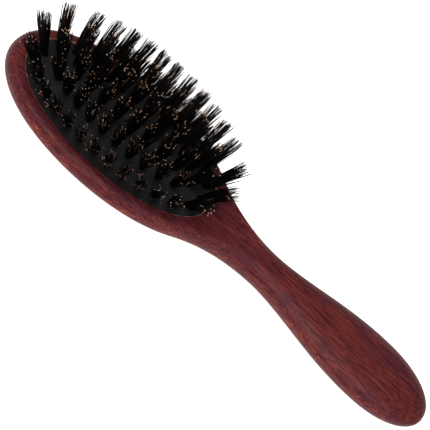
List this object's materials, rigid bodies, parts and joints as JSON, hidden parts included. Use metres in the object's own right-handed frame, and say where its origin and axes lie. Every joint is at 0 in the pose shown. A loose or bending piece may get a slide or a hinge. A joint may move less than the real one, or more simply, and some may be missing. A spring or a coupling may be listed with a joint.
{
  "type": "vanity hairbrush",
  "caption": "Oval cushion hairbrush: stained beech head and grip in one piece, sprung rubber cushion, and fanned boar-bristle tufts in rings.",
  "frame": {"origin": "centre of the whole object's plan box, on the plane that the brush lies on, back down", "axes": "+X along the brush from the toe of the head towards the end of the grip, +Z out of the bristle side, +Y across the brush"},
  "size_m": [0.22, 0.0664, 0.0306],
  "materials": {
    "stained_beech": "wine-red stained beech under a thin semi-gloss lacquer",
    "black_rubber": "matte black moulded rubber",
    "cotton_backing": "plain woven unbleached cotton",
    "boar_bristle": "dark boar bristle, glossy along the hairs, tan where the tips split",
    "staple_wire": "drawn galvanised wire"
  },
  "bodies": {
    "body": {"wooden_body": "stained_beech", "rubber_cushion": "black_rubber", "backing_cloth": "cotton_backing"},
    "inner_group_4": {"inner_tufts_4": "boar_bristle", "inner_staples_4": "staple_wire"},
    "outer_group_1": {"outer_tufts_1": "boar_bristle", "outer_staples_1": "staple_wire"},
    "outer_group_2": {"outer_tufts_2": "boar_bristle", "outer_staples_2": "staple_wire"},
    "outer_group_3": {"outer_tufts_3": "boar_bristle", "outer_staples_3": "staple_wire"},
    "outer_group_4": {"outer_tufts_4": "boar_bristle", "outer_staples_4": "staple_wire"},
    "outer_group_5": {"outer_tufts_5": "boar_bristle", "outer_staples_5": "staple_wire"},
    "outer_group_6": {"outer_tufts_6": "boar_bristle", "outer_staples_6": "staple_wire"},
    "outer_group_7": {"outer_tufts_7": "boar_bristle", "outer_staples_7": "staple_wire"},
    "outer_group_8": {"outer_tufts_8": "boar_bristle", "outer_staples_8": "staple_wire"},
    "middle_group_1": {"middle_tufts_1": "boar_bristle", "middle_staples_1": "staple_wire"},
    "middle_group_2": {"middle_tufts_2": "boar_bristle", "middle_staples_2": "staple_wire"},
    "middle_group_3": {"middle_tufts_3": "boar_bristle", "middle_staples_3": "staple_wire"},
    "middle_group_4": {"middle_tufts_4": "boar_bristle", "middle_staples_4": "staple_wire"},
    "middle_group_5": {"middle_tufts_5": "boar_bristle", "middle_staples_5": "staple_wire"},
    "middle_group_6": {"middle_tufts_6": "boar_bristle", "middle_staples_6": "staple_wire"},
    "inner_group_1": {"inner_tufts_1": "boar_bristle", "inner_staples_1": "staple_wire"},
    "inner_group_2": {"inner_tufts_2": "boar_bristle", "inner_staples_2": "staple_wire"},
    "inner_group_3": {"inner_tufts_3": "boar_bristle", "inner_staples_3": "staple_wire"}
  },
  "joints": [
    {"name": "cushion_press", "type": "slide", "parent": "body", "child": "inner_group_4", "axis": [0, 0, -1], "range_m": [0, 0.00291], "stiffness_N_per_m": 800, "springref_m": -0.0005, "deforming": ["rubber_cushion", "backing_cloth"]},
    {"name": "outer_1_sink", "type": "slide", "parent": "body", "child": "outer_group_1", "axis": [0, 0, -1], "range_m": [0, 0.000635]},
    {"name": "outer_2_sink", "type": "slide", "parent": "body", "child": "outer_group_2", "axis": [0, 0, -1], "range_m": [0, 0.000638]},
    {"name": "outer_3_sink", "type": "slide", "parent": "body", "child": "outer_group_3", "axis": [0, 0, -1], "range_m": [0, 0.000705]},
    {"name": "outer_4_sink", "type": "slide", "parent": "body", "child": "outer_group_4", "axis": [0, 0, -1], "range_m": [0, 0.000813]},
    {"name": "outer_5_sink", "type": "slide", "parent": "body", "child": "outer_group_5", "axis": [0, 0, -1], "range_m": [0, 0.00093]},
    {"name": "outer_6_sink", "type": "slide", "parent": "body", "child": "outer_group_6", "axis": [0, 0, -1], "range_m": [0, 0.00103]},
    {"name": "outer_7_sink", "type": "slide", "parent": "body", "child": "outer_group_7", "axis": [0, 0, -1], "range_m": [0, 0.00111]},
    {"name": "outer_8_sink", "type": "slide", "parent": "body", "child": "outer_group_8", "axis": [0, 0, -1], "range_m": [0, 0.00114]},
    {"name": "middle_1_sink", "type": "slide", "parent": "body", "child": "middle_group_1", "axis": [0, 0, -1], "range_m": [0, 0.00146]},
    {"name": "middle_2_sink", "type": "slide", "parent": "body", "child": "middle_group_2", "axis": [0, 0, -1], "range_m": [0, 0.00161]},
    {"name": "middle_3_sink", "type": "slide", "parent": "body", "child": "middle_group_3", "axis": [0, 0, -1], "range_m": [0, 0.00186]},
    {"name": "middle_4_sink", "type": "slide", "parent": "body", "child": "middle_group_4", "axis": [0, 0, -1], "range_m": [0, 0.00209]},
    {"name": "middle_5_sink", "type": "slide", "parent": "body", "child": "middle_group_5", "axis": [0, 0, -1], "range_m": [0, 0.00225]},
    {"name": "middle_6_sink", "type": "slide", "parent": "body", "child": "middle_group_6", "axis": [0, 0, -1], "range_m": [0, 0.00233]},
    {"name": "inner_1_sink", "type": "slide", "parent": "body", "child": "inner_group_1", "axis": [0, 0, -1], "range_m": [0, 0.00211]},
    {"name": "inner_2_sink", "type": "slide", "parent": "body", "child": "inner_group_2", "axis": [0, 0, -1], "range_m": [0, 0.00248]},
    {"name": "inner_3_sink", "type": "slide", "parent": "body", "child": "inner_group_3", "axis": [0, 0, -1], "range_m": [0, 0.00277]}
  ],
  "couplings": [
    {"joint": "outer_1_sink", "follows": "cushion_press", "ratio": 0.21754},
    {"joint": "outer_2_sink", "follows": "cushion_press", "ratio": 0.21852},
    {"joint": "outer_3_sink", "follows": "cushion_press", "ratio": 0.24155},
    {"joint": "outer_4_sink", "follows": "cushion_press", "ratio": 0.27862},
    {"joint": "outer_5_sink", "follows": "cushion_press", "ratio": 0.31863},
    {"joint": "outer_6_sink", "follows": "cushion_press", "ratio": 0.35423},
    {"joint": "outer_7_sink", "follows": "cushion_press", "ratio": 0.37999},
    {"joint": "outer_8_sink", "follows": "cushion_press", "ratio": 0.39058},
    {"joint": "middle_1_sink", "follows": "cushion_press", "ratio": 0.50153},
    {"joint": "middle_2_sink", "follows": "cushion_press", "ratio": 0.55234},
    {"joint": "middle_3_sink", "follows": "cushion_press", "ratio": 0.63938},
    {"joint": "middle_4_sink", "follows": "cushion_press", "ratio": 0.71565},
    {"joint": "middle_5_sink", "follows": "cushion_press", "ratio": 0.77074},
    {"joint": "middle_6_sink", "follows": "cushion_press", "ratio": 0.80022},
    {"joint": "inner_1_sink", "follows": "cushion_press", "ratio": 0.72401},
    {"joint": "inner_2_sink", "follows": "cushion_press", "ratio": 0.85124},
    {"joint": "inner_3_sink", "follows": "cushion_press", "ratio": 0.94993}
  ]
}
